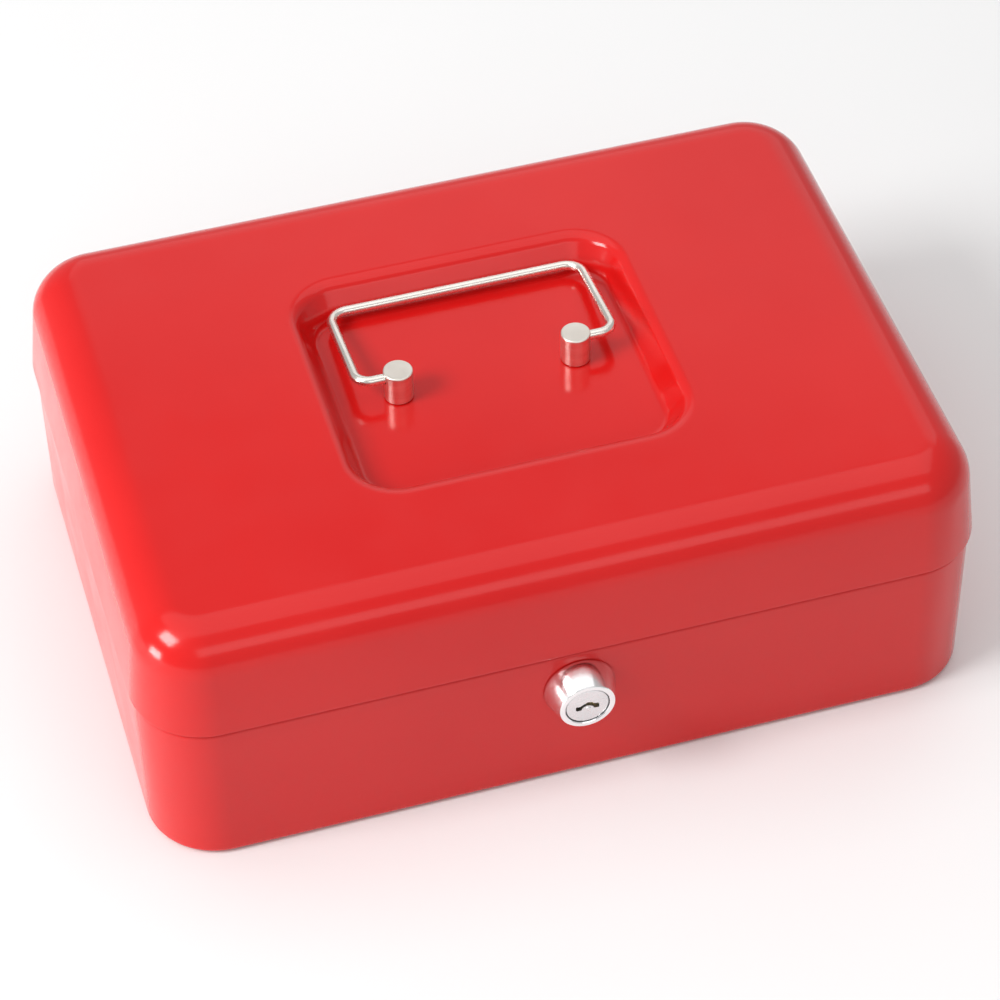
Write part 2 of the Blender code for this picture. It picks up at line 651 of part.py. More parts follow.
def build_cam():
    """Cam that points up when unlocked, with its washer and screw."""
    front = BARREL_END_Y + 2 * GAP
    tip = arc((0, LOCK_Z + CAM_LENGTH - CAM_HALF_WIDTH), CAM_HALF_WIDTH, 0, 180, 8)
    root = arc((0, LOCK_Z), CAM_HALF_WIDTH, 180, 360, 8)
    cam = extrude_outline("lock_cam", tip + root, front, front + CAM_THICKNESS, ZINC, "Y")
    half = CAM_SQUARE / 2 + GAP
    square = box("cam_square", (-half, front - 1 * MM, LOCK_Z - half),
                 (half, front + 2 * CAM_THICKNESS, LOCK_Z + half))
    cut(cam, [square])
    thickness = 0.6 * MM
    washer_y = front + CAM_THICKNESS + GAP
    inner, outer = CAM_SCREW_RADIUS + GAP, CAM_HALF_WIDTH - 0.3 * MM
    washer = lathe("cam_washer", [(inner, 0), (outer, 0), (outer, thickness), (inner, thickness)],
                   ZINC, (0, washer_y, LOCK_Z), "Y", steps=24)
    head_y = washer_y + thickness + GAP
    head, high = 2.8 * MM, 1.8 * MM
    section = [(0, -4 * MM), (CAM_SCREW_RADIUS, -4 * MM), (CAM_SCREW_RADIUS, 0), (head, 0),
               (head, high / 2), (0.6 * head, high), (0, high)]
    screw = lathe("cam_screw", section, ZINC, (0, head_y, LOCK_Z), "Y", steps=24)
    cut(screw, cross_slots("cam", (0, head_y + high, LOCK_Z), "Y", head))
    return cam, washer, screw


# Coin tray

def pocket(name, low_x, high_x, low_y, high_y):
    """Cutter for one compartment, with rounded corners and a scooped floor."""
    centre = ((low_x + high_x) / 2, (low_y + high_y) / 2)
    half_x, half_y = (high_x - low_x) / 2, (high_y - low_y) / 2
    floor_z = TRAY_BOTTOM_Z + TRAY_WALL
    rim_z = RIM_Z + GAP + 2 * TRAY_WALL
    corner = TRAY_CORNER - TRAY_WALL
    loops = []
    for angle in (0, 22.5, 45, 67.5, 90):
        inset = CUP_SCOOP * (1 - math.sin(math.radians(angle))) + TRAY_DRAFT
        z = floor_z + CUP_SCOOP * (1 - math.cos(math.radians(angle)))
        loops.append(rounded_rect(half_x - inset, half_y - inset, corner - inset, z, centre, steps=5))
    loops.append(rounded_rect(half_x, half_y, corner, rim_z, centre, steps=5))
    return finish_object(name, stack_loops(loops), None)


def build_tray():
    """Moulded tray that hangs by its end flanges on the base's rim."""
    centre = (0, (TRAY_FRONT_Y + TRAY_BACK_Y) / 2)
    half_y = (TRAY_BACK_Y - TRAY_FRONT_Y) / 2
    rest_z = RIM_Z + GAP
    top_z = rest_z + TRAY_WALL
    flange_x = TRAY_HALF_X + TRAY_FLANGE
    edge = 1.5 * MM
    sections = [(TRAY_HALF_X - TRAY_DRAFT - edge, TRAY_DRAFT + edge, TRAY_BOTTOM_Z),
                (TRAY_HALF_X - TRAY_DRAFT, TRAY_DRAFT, TRAY_BOTTOM_Z + edge),
                (TRAY_HALF_X, 0, rest_z), (flange_x, -TRAY_RIM, rest_z), (flange_x, -TRAY_RIM, top_z)]
    loops = [rounded_rect(half_x, half_y - inset, TRAY_CORNER, z, centre)
             for half_x, inset, z in sections]
    tray = finish_object("coin_tray", stack_loops(loops), BLACK_PLASTIC)
    inner_x = TRAY_HALF_X - TRAY_WALL
    pitch = (2 * inner_x + TRAY_WALL) / COIN_CUPS
    cutters = []
    for index in range(COIN_CUPS):
        low_x = -inner_x + index * pitch
        cutters.append(pocket(f"coin_cup_{index}", low_x, low_x + pitch - TRAY_WALL,
                              TRAY_FRONT_Y + TRAY_WALL, CUP_SPLIT_Y))
    cutters.append(pocket("note_bay", -inner_x, inner_x, CUP_SPLIT_Y + TRAY_WALL, TRAY_BACK_Y - TRAY_WALL))
    cut(tray, cutters)
    return tray


def main():
    clear_scene()
    build_base_shell()
    lid_parts = [build_lid_shell(), build_strike()]
    handle = build_handle()
    for side, word in ((-1, "left"), (1, "right")):
        lid_leaf, _, _ = build_hinge(side, word)
        lid_parts.append(lid_leaf)
        lid_parts.append(build_post(side, word))
        lid_parts.extend(build_post_fixing(side, word))
    build_lock_body()
    build_lock_fixing()
    turning = [build_plug(), *build_cam()]
    for index in range(WAFER_COUNT):
        turning.extend(build_wafer(index))
    build_tray()
    lid_axis = pivot("lid_axis", (0, HINGE_AXIS_Y, SEAM_Z))
    lock_axis = pivot("lock_axis", (0, BASE_FRONT_Y, LOCK_Z))
    attach(lid_parts + [handle], lid_axis)
    attach(turning, lock_axis)


main()
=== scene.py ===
"""Looks of the steel cash box: smooth painted shells, nickel handle, chrome lock, coin tray.

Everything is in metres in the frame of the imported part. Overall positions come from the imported
nodes; section sizes that a node's box can't give repeat the part's own dimensions.
"""
import json
import math

import bmesh
import bpy
from mathutils import Euler, Matrix, Vector


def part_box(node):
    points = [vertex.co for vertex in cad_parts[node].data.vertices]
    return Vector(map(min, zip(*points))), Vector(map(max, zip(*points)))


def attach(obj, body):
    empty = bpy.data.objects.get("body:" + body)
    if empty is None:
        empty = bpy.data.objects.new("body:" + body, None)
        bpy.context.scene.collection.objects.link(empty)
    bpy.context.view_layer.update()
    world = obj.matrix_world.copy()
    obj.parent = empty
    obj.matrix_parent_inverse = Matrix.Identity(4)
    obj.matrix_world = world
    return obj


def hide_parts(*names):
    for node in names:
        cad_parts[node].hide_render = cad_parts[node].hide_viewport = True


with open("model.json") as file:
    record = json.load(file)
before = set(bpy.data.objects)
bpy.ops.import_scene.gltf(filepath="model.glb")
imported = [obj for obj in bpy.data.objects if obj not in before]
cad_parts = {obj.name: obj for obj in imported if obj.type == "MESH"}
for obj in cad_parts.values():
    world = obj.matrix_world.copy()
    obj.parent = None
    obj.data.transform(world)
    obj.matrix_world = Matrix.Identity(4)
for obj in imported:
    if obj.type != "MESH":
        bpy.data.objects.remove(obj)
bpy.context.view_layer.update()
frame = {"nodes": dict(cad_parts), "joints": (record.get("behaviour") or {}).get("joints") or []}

MM = 0.001
GAP = 0.3 * MM

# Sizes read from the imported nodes
LID_LOW, LID_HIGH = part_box("lid_shell")
LID_WIDTH = LID_HIGH.x - LID_LOW.x
LID_DEPTH = LID_HIGH.y - LID_LOW.y
SEAM_Z = LID_LOW.z
LID_TOP_Z = LID_HIGH.z
RIM_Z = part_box("base_shell")[1].z
POST_LOW, POST_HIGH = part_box("handle_post_right")
POST_X = (POST_LOW.x + POST_HIGH.x) / 2
POST_Y = (POST_LOW.y + POST_HIGH.y) / 2
POST_RADIUS = (POST_HIGH.y - POST_LOW.y) / 2
LOCK_LOW, LOCK_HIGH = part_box("lock_body")
LOCK_Z = (LOCK_LOW.z + LOCK_HIGH.z) / 2
BARREL_END_Y = LOCK_HIGH.y
PLUG_FACE_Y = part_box("lock_plug")[0].y
PIVOT_Z = [joint for joint in frame["joints"] if joint["name"] == "handle_pivot"][0]["pos_m"][2]
TRAY_LOW, TRAY_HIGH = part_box("coin_tray")

# Shells
SHEET = 0.8 * MM
LID_CORNER = 22 * MM
LID_DRAFT = math.atan(3.7 / 33.5)
LID_FILLET = 14 * MM
LID_HEM = 5 * MM
LID_OVERHANG = 1 * MM
BASE_BOTTOM_RADIUS = 2.5 * MM
RIM_STEP = 2.2 * MM
SHOULDER_ROUND = 1.6 * MM  # along the base's shoulder, just below the seam
RIM_FLANGE = 2.2 * MM
RIM_LIP = 2.5 * MM
RIM_ROUND = 0.5 * MM
BASE_FRONT_Y = -LID_DEPTH / 2 + LID_OVERHANG
RECESS_DEPTH = 9.5 * MM
RECESS_RIM = Vector((52.5 * MM, 47 * MM))
RECESS_FLOOR = Vector((44.5 * MM, 35.8 * MM))
RECESS_RIM_CORNER = 17 * MM
RECESS_FLOOR_CORNER = 9 * MM
RECESS_RIM_ROUND = 4.5 * MM
RECESS_FLOOR_ROUND = 2.5 * MM
RECESS_FLOOR_Z = LID_TOP_Z - RECESS_DEPTH
SUPPORT = 0.5 * MM        # loop beside each round, so that flats shade flat

# Handle and posts
WIRE_RADIUS = 1.5 * MM
WIRE_HOLE_RADIUS = 1.7 * MM
WIRE_END_X = 24.8 * MM
ARM_X = 39 * MM
ARM_LENGTH = 36.2 * MM
BAR_BEND = 5.5 * MM
END_BEND = 4.5 * MM
HANDLE_TILT = math.radians(6.8)
SCREW_RADIUS = 1.9 * MM
SCREW_DEPTH = 4.5 * MM
WIRE_STEPS = 32
WIRE_END_EDGE = 0.3 * MM
POST_ROUND = 0.45 * MM
POST_FOOT_EDGE = 0.2 * MM

# Hinges
HINGE_X = 75 * MM
HINGE_LENGTH = 40 * MM
HINGE_AXIS_Y = 89.4 * MM
KNUCKLE_OUTER = 2.5 * MM
KNUCKLE_INNER = 1.5 * MM
PIN_RADIUS = 1.3 * MM
PIN_END_EDGE = 0.3 * MM
LEAF_HEIGHT = 14 * MM
LID_KNUCKLE_LENGTH = 15 * MM
KNUCKLE_GAP = 0.4 * MM
CURL_END = 115            # degrees; the roll stops just short of its own strip
NOTCH_HEIGHT = 3.3 * MM   # from the hinge axis to the cut edges of both walls

# Lock
HEAD_LENGTH = 8.5 * MM
HEAD_WALL_RADIUS = 10.5 * MM
HEAD_FACE_RADIUS = 8.25 * MM
HEAD_FOOT = 1.2 * MM      # straight part of the head next to the wall
HEAD_ROUND = 0.45 * MM
BORE_EDGE = 0.25 * MM
BARREL_RADIUS = 7.9 * MM
BORE_RADIUS = 6.55 * MM
PLUG_RADIUS = 6.3 * MM
PLUG_ROUND = 0.25 * MM
CAM_SQUARE = 5.4 * MM
CAM_SCREW_BORE = 1.7 * MM
KEYWAY_DEPTH = 13.5 * MM
# Keyway seen from the front, in millimetres from the plug's middle
KEYWAY = ((-3.5, -0.9), (-3.5, 0.1), (-3.2, 0.4), (-2.3, 0.2), (-1.2, 0.9), (-0.1, 1.5), (1.3, 1.3),
          (2.0, 0.55), (3.2, 0.4), (3.5, -0.4), (3.4, -1.5), (2.0, -1.4), (1.5, -0.5), (0.7, 0.0),
          (-0.4, 0.2), (-1.4, -0.5), (-1.9, -1.4), (-3.1, -1.4))
BOSS_RADIUS = 0.75 * MM
BOSS_HEIGHT = 0.3 * MM
BOSS_ROOT = 0.5 * MM       # sunk into the plug
BOSS_X, BOSS_Z = 0.3 * MM, -1.2 * MM
WAFER_FIRST = 3.2 * MM    # from the head's face to the first slot's middle
WAFER_PITCH = 3 * MM
WAFER_COUNT = 4
WAFER_HALF = (0.75 * MM, 2.55 * MM)  # half a slot's thickness and height
SLOT_END_X = 5.6 * MM     # blind end of each slot

# Strike
STRIKE_THICKNESS = 1 * MM
STRIKE_SHELF_Z = 61 * MM
STRIKE_LIP_Z = 33 * MM
TONGUE_Y = -82.9 * MM
STRIKE_LIP = 3.9 * MM
STRIKE_ROUND = 0.25 * MM

# Coin tray
TRAY_WALL = 1.8 * MM
TRAY_FLANGE = 2 * MM      # at the two ends, where the tray hangs
TRAY_RIM = 0.8 * MM       # along the front and the back
TRAY_CORNER = 18 * MM
TRAY_DRAFT = 1.5 * MM
TRAY_EDGE = 0.5 * MM
TRAY_BOTTOM_ROUND = 1.5 * MM
COIN_CUPS = 5
CUP_SPLIT_Y = 0
CUP_SCOOP = 10 * MM

# Mesh resolution and shading
CORNER_STEPS = 24
TRAY_CORNER_STEPS = 16
POCKET_STEPS = 12
ROUND_STEPS = 96
HEAD_STEPS = 128
SMALL_STEPS = 32
SMOOTH_ANGLE = math.radians(32)

# Camera
CAMERA_LENS = 124.96
CAMERA_PLACE = (-0.19607, -0.70720, 0.78335)
CAMERA_DEGREES = (44.0827, 0.7210, -16.4405)

# Studio
FLOOR_HALF = 4
AIM = (0, 0, 0.05)         # where the softboxes face
WORLD_STRENGTH = 0.5


# Materials

class Look:
    """A Principled material built up from a few noise-driven inputs."""

    NOISE_SPAN = (0.35, 0.65)  # where nearly all of a noise's values lie

    def __init__(self, name, colour, roughness, metallic=0.0):
        self.material = bpy.data.materials.new(name)
        self.material.use_nodes = True
        self.nodes = self.material.node_tree.nodes
        self.links = self.material.node_tree.links
        self.shader = self.nodes["Principled BSDF"]
        self.place = self.nodes.new("ShaderNodeTexCoord").outputs["Object"]
        self.set("Base Color", (*colour, 1))
        self.set("Roughness", roughness)
        self.set("Metallic", metallic)

    def set(self, socket, value):
        self.shader.inputs[socket].default_value = value

    def noise(self, scale, detail=2.0, stretch=(1, 1, 1)):
        mapping = self.nodes.new("ShaderNodeMapping")
        mapping.inputs["Scale"].default_value = stretch
        self.links.new(self.place, mapping.inputs["Vector"])
        noise = self.nodes.new("ShaderNodeTexNoise")
        noise.inputs["Scale"].default_value = scale
        noise.inputs["Detail"].default_value = detail
        self.links.new(mapping.outputs["Vector"], noise.inputs["Vector"])
        return noise.outputs["Fac"]

    def ramp(self, source, stops):
        """Colour ramp; stops are (position, colour)."""
        ramp = self.nodes.new("ShaderNodeValToRGB")
        elements = ramp.color_ramp.elements
        while len(elements) < len(stops):
            elements.new(0.5)
        for element, (position, colour) in zip(elements, stops):
            element.position = position
            element.color = (*colour, 1)
        self.links.new(source, ramp.inputs["Fac"])
        return ramp.outputs["Color"]

    def colour(self, source, low, high):
        colour = self.ramp(source, tuple(zip(self.NOISE_SPAN, (low, high))))
        self.links.new(colour, self.shader.inputs["Base Color"])

    def roughness(self, source, low, high):
        spread = self.nodes.new("ShaderNodeMapRange")
        least, most = self.NOISE_SPAN
        spread.inputs["From Min"].default_value = least
        spread.inputs["From Max"].default_value = most
        spread.inputs["To Min"].default_value = low
        spread.inputs["To Max"].default_value = high
        self.links.new(source, spread.inputs["Value"])
        self.links.new(spread.outputs["Result"], self.shader.inputs["Roughness"])

    def bump(self, sources):
        """Chain of bumps; sources are (height, strength, distance)."""
        normal = None
        for height, strength, distance in sources:
            bump = self.nodes.new("ShaderNodeBump")
            bump.inputs["Strength"].default_value = strength
            bump.inputs["Distance"].default_value = distance
            self.links.new(height, bump.inputs["Height"])
            if normal is not None:
                self.links.new(normal, bump.inputs["Normal"])
            normal = bump.outputs["Normal"]
        self.links.new(normal, self.shader.inputs["Normal"])


def paint_look(name):
    """Glossy red enamel on drawn steel: faint orange peel and slow waves of the sheet."""
    look = Look(name, (0.64, 0.006, 0.006), 0.16)
    look.colour(look.noise(9, 3), (0.57, 0.006, 0.006), (0.61, 0.010, 0.009))
    look.roughness(look.noise(60, 4), 0.13, 0.19)
    look.set("IOR", 1.45)
    look.bump(((look.noise(620, 2), 0.16, 0.06 * MM), (look.noise(28, 1), 0.10, 0.3 * MM)))
    return look.material


def plated_look(name, low, high, roughness, spread, draw=(1, 1, 1)):
    """Plated metal with fine marks; draw stretches them along the way that it was worked."""
    look = Look(name, high, roughness, 1.0)
    look.colour(look.noise(90, 4, draw), low, high)
    look.roughness(look.noise(700, 3, draw), roughness, roughness + spread)
    look.bump(((look.noise(1400, 2, draw), 0.12, 0.02 * MM),))
    return look.material


def plastic_look(name):
    """Black moulded plastic with a fine spark-eroded grain."""
    look = Look(name, (0.018, 0.018, 0.02), 0.42)
    look.colour(look.noise(30, 3), (0.015, 0.015, 0.017), (0.023, 0.023, 0.025))
    look.roughness(look.noise(400, 3), 0.36, 0.5)
    look.bump(((look.noise(1800, 3), 0.35, 0.06 * MM),))
    return look.material


LID_PAINT = paint_look("lid_enamel")
BASE_PAINT = paint_look("base_enamel")
NICKEL = plated_look("nickel_plate", (0.84, 0.79, 0.73), (0.92, 0.88, 0.82), 0.20, 0.1)
POST_NICKEL = plated_look("turned_nickel", (0.80, 0.74, 0.67), (0.90, 0.85, 0.78), 0.30, 0.1, (1, 1, 6))
CHROME = plated_look("lock_chrome", (0.86, 0.86, 0.87), (0.93, 0.93, 0.94), 0.16, 0.06)
PLUG_CHROME = plated_look("plug_chrome", (0.72, 0.72, 0.73), (0.80, 0.79, 0.80), 0.24, 0.1)
ZINC = plated_look("zinc_plate", (0.50, 0.52, 0.55), (0.64, 0.64, 0.62), 0.28, 0.16)
BRASS = plated_look("wafer_brass", (0.66, 0.48, 0.20), (0.78, 0.60, 0.28), 0.25, 0.12)
PLASTIC = plastic_look("tray_plastic")


# Mesh building

def finish_mesh(name, bm, material=None):
    bmesh.ops.recalc_face_normals(bm, faces=bm.faces)
    mesh = bpy.data.meshes.new(name)
    bm.to_mesh(mesh)
    bm.free()
    mesh.shade_smooth()
    mesh.set_sharp_from_angle(angle=SMOOTH_ANGLE)
    obj = bpy.data.objects.new(name, mesh)
    bpy.context.scene.collection.objects.link(obj)
    if material:
        mesh.materials.append(material)
    return obj


def bake_modifiers(obj):
    """Replaces an object's mesh by the result of its modifiers."""
    graph = bpy.context.evaluated_depsgraph_get()
    mesh = bpy.data.meshes.new_from_object(obj.evaluated_get(graph))
    obj.modifiers.clear()
    obj.data = mesh


def cut(target, cutters, operation="DIFFERENCE"):
    for cutter in cutters:
        modifier = target.modifiers.new("cut", "BOOLEAN")
        modifier.operation = operation
        modifier.solver = "EXACT"
        modifier.object = cutter
    bake_modifiers(target)
    for cutter in cutters:
        bpy.data.objects.remove(cutter)
    target.data.set_sharp_from_angle(angle=SMOOTH_ANGLE)
    return target


def soften(obj, width):
    """Small rounds on an object's sharp edges."""
    modifier = obj.modifiers.new("soften", "BEVEL")
    modifier.width = width
    modifier.segments = 2
    modifier.limit_method = "ANGLE"
    modifier.angle_limit = math.radians(40)
    bake_modifiers(obj)
    obj.data.shade_smooth()
    obj.data.set_sharp_from_angle(angle=SMOOTH_ANGLE)
    return obj


def rounded_rect(half_x, half_y, radius, z, centre=(0, 0), steps=CORNER_STEPS):
    points = []
    for quarter, (sx, sy) in enumerate(((1, 1), (-1, 1), (-1, -1), (1, -1))):
        cx = centre[0] + sx * (half_x - radius)
        cy = centre[1] + sy * (half_y - radius)
        for step in range(steps + 1):
            angle = math.pi / 2 * (quarter + step / steps)
            points.append(Vector((cx + radius * math.cos(angle), cy + radius * math.sin(angle), z)))
    return points


def stack_loops(loops):
    """Closed skin through loops of equal length, capped at the first and the last."""
    bm = bmesh.new()
    rings = [[bm.verts.new(point) for point in loop] for loop in loops]
    for lower, upper in zip(rings, rings[1:]):
        count = len(lower)
        for i in range(count):
            j = (i + 1) % count
            bm.faces.new((lower[i], lower[j], upper[j], upper[i]))
    bm.faces.new(rings[0][::-1])
    bm.faces.new(rings[-1])
    return bm


def arc(centre, radius, start, end, steps):
    angles = [math.radians(start + (end - start) * i / steps) for i in range(steps + 1)]
    return [(centre[0] + radius * math.cos(a), centre[1] + radius * math.sin(a)) for a in angles]


def box(name, low, high):
    bm = bmesh.new()
    bmesh.ops.create_cube(bm, size=1)
    low, high = Vector(low), Vector(high)
    for vert in bm.verts:
        vert.co = Vector([low[i] + (vert.co[i] + 0.5) * (high[i] - low[i]) for i in range(3)])
    return finish_mesh(name, bm)


def lathe(name, section, material, origin, axis="Y", steps=ROUND_STEPS):
    """Closed section of (radius, distance) points turned about an axis through the origin."""
    turn = {"X": Matrix.Rotation(math.pi / 2, 4, "Y"),
            "Y": Matrix.Rotation(-math.pi / 2, 4, "X"),
            "Z": Matrix.Identity(4)}[axis]
    bm = bmesh.new()
    rings = []
    for radius, along in section:
        if radius < 1e-9:
            rings.append([bm.verts.new((0, 0, along))])
            continue
        angles = [2 * math.pi * i / steps for i in range(steps)]
        rings.append([bm.verts.new((radius * math.cos(a), radius * math.sin(a), along))
                      for a in angles])
    pairs = list(zip(rings, rings[1:]))
    if section[0][0] > 1e-9:
        pairs.append((rings[-1], rings[0]))
    for first, second in pairs:
        for i in range(steps):
            j = (i + 1) % steps
            corners = [first[i % len(first)], first[j % len(first)]]
            corners += [second[j % len(second)], second[i % len(second)]]
            bm.faces.new(list(dict.fromkeys(corners)))
    bmesh.ops.transform(bm, matrix=Matrix.Translation(origin) @ turn, verts=bm.verts)
    return finish_mesh(name, bm, material)


def cylinder(name, radius, low, high, origin, axis, steps=48):
    section = [(0, low), (radius, low), (radius, high), (0, high)]
    return lathe(name, section, None, origin, axis, steps)


def extrude_outline(name, outline, low, high, material=None, axis="X"):
    """Prism of a closed outline, which is (y, z) for axis X and (x, z) for axis Y."""
    def place(point, along):
        return (along, *point) if axis == "X" else (point[0], along, point[1])

    bm = bmesh.new()
    first = [bm.verts.new(place(point, low)) for point in outline]
    second = [bm.verts.new(place(point, high)) for point in outline]
    for i in range(len(outline)):
        j = (i + 1) % len(outline)
        bm.faces.new((first[i], first[j], second[j], second[i]))
    bm.faces.new(first[::-1])
    bm.faces.new(second)
    return finish_mesh(name, bm, material)


def dress(piece, body, slot, *nodes):
    """Ties a finished piece to its body and hides the CAD nodes that it stands for; slot is not used.
    """
    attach(piece, body)
    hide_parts(*nodes)
    return piece


# Shells

def box_loop(inset, z):
    """Level outline of the box; the inset grows inwards from the lid's lower edge."""
    return rounded_rect(LID_WIDTH / 2 - inset, LID_DEPTH / 2 - inset, LID_CORNER - inset, z)


def recess_section(skin):
    """Recess wall from floor to rim: tangent slope between a hollow and a full round."""
    run = (RECESS_RIM.x + RECESS_RIM.y - RECESS_FLOOR.x - RECESS_FLOOR.y) / 2
    rounds = RECESS_FLOOR_ROUND + RECESS_RIM_ROUND
    tilt = math.atan2(rounds - RECESS_DEPTH, run)
    slope = math.degrees(math.asin(rounds / math.hypot(run, rounds - RECESS_DEPTH)) - tilt)
    hollow = RECESS_FLOOR_ROUND + skin
    full = RECESS_RIM_ROUND - skin
    lower = arc((0, RECESS_FLOOR_Z - skin + hollow), hollow, -90, -90 + slope, 12)
    upper = arc((run, LID_TOP_Z - skin - full), full, 90 + slope, 90, 16)
    section = [(-SUPPORT, RECESS_FLOOR_Z - skin)] + lower + upper + [(run + SUPPORT, LID_TOP_Z - skin)]
    return [(along / run, z) for along, z in section]


def recess_loop(share, z):
    half = RECESS_FLOOR.lerp(RECESS_RIM, share)
    corner = RECESS_FLOOR_CORNER + (RECESS_RIM_CORNER - RECESS_FLOOR_CORNER) * share
    return rounded_rect(half.x, half.y, corner, z)


def wall_inset(z, skin=0):
    return (z - SEAM_Z) * math.tan(LID_DRAFT) + skin / math.cos(LID_DRAFT)


def edge_round(skin, steps):
    centre_z = LID_TOP_Z - LID_FILLET
    tangent_z = centre_z + LID_FILLET * math.sin(LID_DRAFT)
    centre = (wall_inset(tangent_z) + LID_FILLET * math.cos(LID_DRAFT), centre_z)
    curve = arc(centre, LID_FILLET - skin, 90, 180 - math.degrees(LID_DRAFT), steps)
    below = curve[-1][1] - SUPPORT
    return [(curve[0][0] + SUPPORT, curve[0][1])] + curve + [(wall_inset(below, skin), below)]


def hinge_notch(side, low_z, high_z):
    reach = HINGE_LENGTH / 2 + 2 * GAP
    return box("notch", (side * HINGE_X - reach, HINGE_AXIS_Y - 3 * KNUCKLE_OUTER, low_z),
               (side * HINGE_X + reach, HINGE_AXIS_Y + 2 * KNUCKLE_OUTER, high_z))


def build_lid():
    hem_z = SEAM_Z + LID_HEM
    fold = SHEET                      # the folded hem's edge is a full round of two sheets
    loops = [recess_loop(share, z) for share, z in recess_section(0)]
    loops += [box_loop(inset, z) for inset, z in edge_round(0, 24)]
    for angle in range(0, 181, 15):
        rise = fold * (1 - math.sin(math.radians(angle)))
        across = fold * (1 - math.cos(math.radians(angle)))
        loops.append(box_loop(wall_inset(SEAM_Z + rise, across), SEAM_Z + rise))
    loops += [box_loop(wall_inset(hem_z, skin * SHEET), hem_z) for skin in (2, 1)]
    loops += [box_loop(inset, z) for inset, z in reversed(edge_round(SHEET, 16))]
    loops += [recess_loop(share, z) for share, z in reversed(recess_section(SHEET))]
    lid = finish_mesh("lid_drawn_shell", stack_loops(loops), LID_PAINT)
    cutters = [hinge_notch(side, SEAM_Z - NOTCH_HEIGHT, SEAM_Z + NOTCH_HEIGHT) for side in (-1, 1)]
    for side in (-1, 1):
        cutters.append(cylinder("screw_hole", SCREW_RADIUS + GAP, -2 * MM, 2 * MM,
                                (side * POST_X, POST_Y, RECESS_FLOOR_Z), "Z"))
    dress(cut(lid, cutters), "lid", "lid_paint", "lid_shell")


def build_base():
    bottom = BASE_BOTTOM_RADIUS
    rim = LID_OVERHANG + RIM_STEP
    lip = rim + RIM_FLANGE
    shoulder_z = SEAM_Z - GAP
    edge = RIM_ROUND
    section = [(LID_OVERHANG + bottom + SUPPORT, 0)]      # (inset, height) pairs
    section += arc((LID_OVERHANG + bottom, bottom), bottom, -90, -180, 12)
    section += [(LID_OVERHANG, bottom + SUPPORT), (LID_OVERHANG, shoulder_z - SHOULDER_ROUND - SUPPORT)]
    section += arc((LID_OVERHANG + SHOULDER_ROUND, shoulder_z - SHOULDER_ROUND),
                   SHOULDER_ROUND, 180, 90, 10)
    section += [(rim, shoulder_z)]
    section += arc((rim + edge, RIM_Z - edge), edge, 180, 90, 5)
    section += arc((lip - edge, RIM_Z - edge), edge, 90, 0, 5)
    section += [(lip, RIM_Z - RIM_LIP), (lip - SHEET, RIM_Z - RIM_LIP), (lip - SHEET, RIM_Z - SHEET)]
    section += [(rim + SHEET, RIM_Z - SHEET), (rim + SHEET, shoulder_z - SHEET)]
    section += [(LID_OVERHANG + SHEET, shoulder_z - SHEET), (LID_OVERHANG + SHEET, bottom + SUPPORT)]
    section += reversed(arc((LID_OVERHANG + bottom, bottom), bottom - SHEET, -90, -180, 12))
    section += [(LID_OVERHANG + bottom + SUPPORT, SHEET)]
    loops = [box_loop(inset, z) for inset, z in section]
    base = finish_mesh("base_drawn_shell", stack_loops(loops), BASE_PAINT)
    cutters = [hinge_notch(side, SEAM_Z - NOTCH_HEIGHT, RIM_Z + NOTCH_HEIGHT) for side in (-1, 1)]
    cutters.append(cylinder("lock_hole", BARREL_RADIUS + GAP, -4 * MM, 4 * MM,
                            (0, BASE_FRONT_Y, LOCK_Z), "Y", steps=ROUND_STEPS))
    dress(cut(base, cutters), "base", "base_paint", "base_shell")


# Hinges

def leaf_outline(up):
    sign = 1 if up else -1
    lean = LEAF_HEIGHT * math.tan(LID_DRAFT) if up else 0
    outer = arc((0, 0), KNUCKLE_OUTER, 180, 360 + CURL_END, 40)
    inner = arc((0, 0), KNUCKLE_INNER, 360 + CURL_END, 180, 40)
    points = [(-KNUCKLE_OUTER - lean, LEAF_HEIGHT)] + outer
    points += inner + [(-KNUCKLE_INNER - lean, LEAF_HEIGHT)]
    return [(HINGE_AXIS_Y + y, SEAM_Z + sign * z) for y, z in points]


def build_hinge(side, word):
    centre = side * HINGE_X
    half, middle = HINGE_LENGTH / 2, LID_KNUCKLE_LENGTH / 2
    clear = KNUCKLE_OUTER + GAP
    low_y, high_y = HINGE_AXIS_Y - 2 * KNUCKLE_OUTER, HINGE_AXIS_Y + 2 * KNUCKLE_OUTER
    lid_leaf = extrude_outline(f"lid_leaf_{word}", leaf_outline(True),
                               centre - half, centre + half, ZINC)
    gaps = []
    for end in (-1, 1):
        spans = sorted((centre + end * middle, centre + end * (half + 2 * MM)))
        gaps.append(box("gap", (spans[0], low_y, SEAM_Z - clear),
                        (spans[1], high_y, SEAM_Z + clear)))
    dress(cut(lid_leaf, gaps), "lid", "zinc_steel", f"hinge_lid_leaf_{word}")
    base_leaf = extrude_outline(f"base_leaf_{word}", leaf_outline(False),
                                centre - half, centre + half, ZINC)
    reach = middle + KNUCKLE_GAP
    gap = box("gap", (centre - reach, low_y, SEAM_Z - clear),
              (centre + reach, high_y, SEAM_Z + clear))
    dress(cut(base_leaf, [gap]), "base", "zinc_steel", f"hinge_base_leaf_{word}")
    edge = PIN_END_EDGE
    section = [(0, -half), (PIN_RADIUS - edge, -half), (PIN_RADIUS, -half + edge),
               (PIN_RADIUS, half - edge), (PIN_RADIUS - edge, half), (0, half)]
    pin = lathe(f"pin_{word}", section, ZINC, (centre, HINGE_AXIS_Y, SEAM_Z), "X", SMALL_STEPS)
    dress(pin, "base", "zinc_steel", f"hinge_pin_{word}")


# Handle

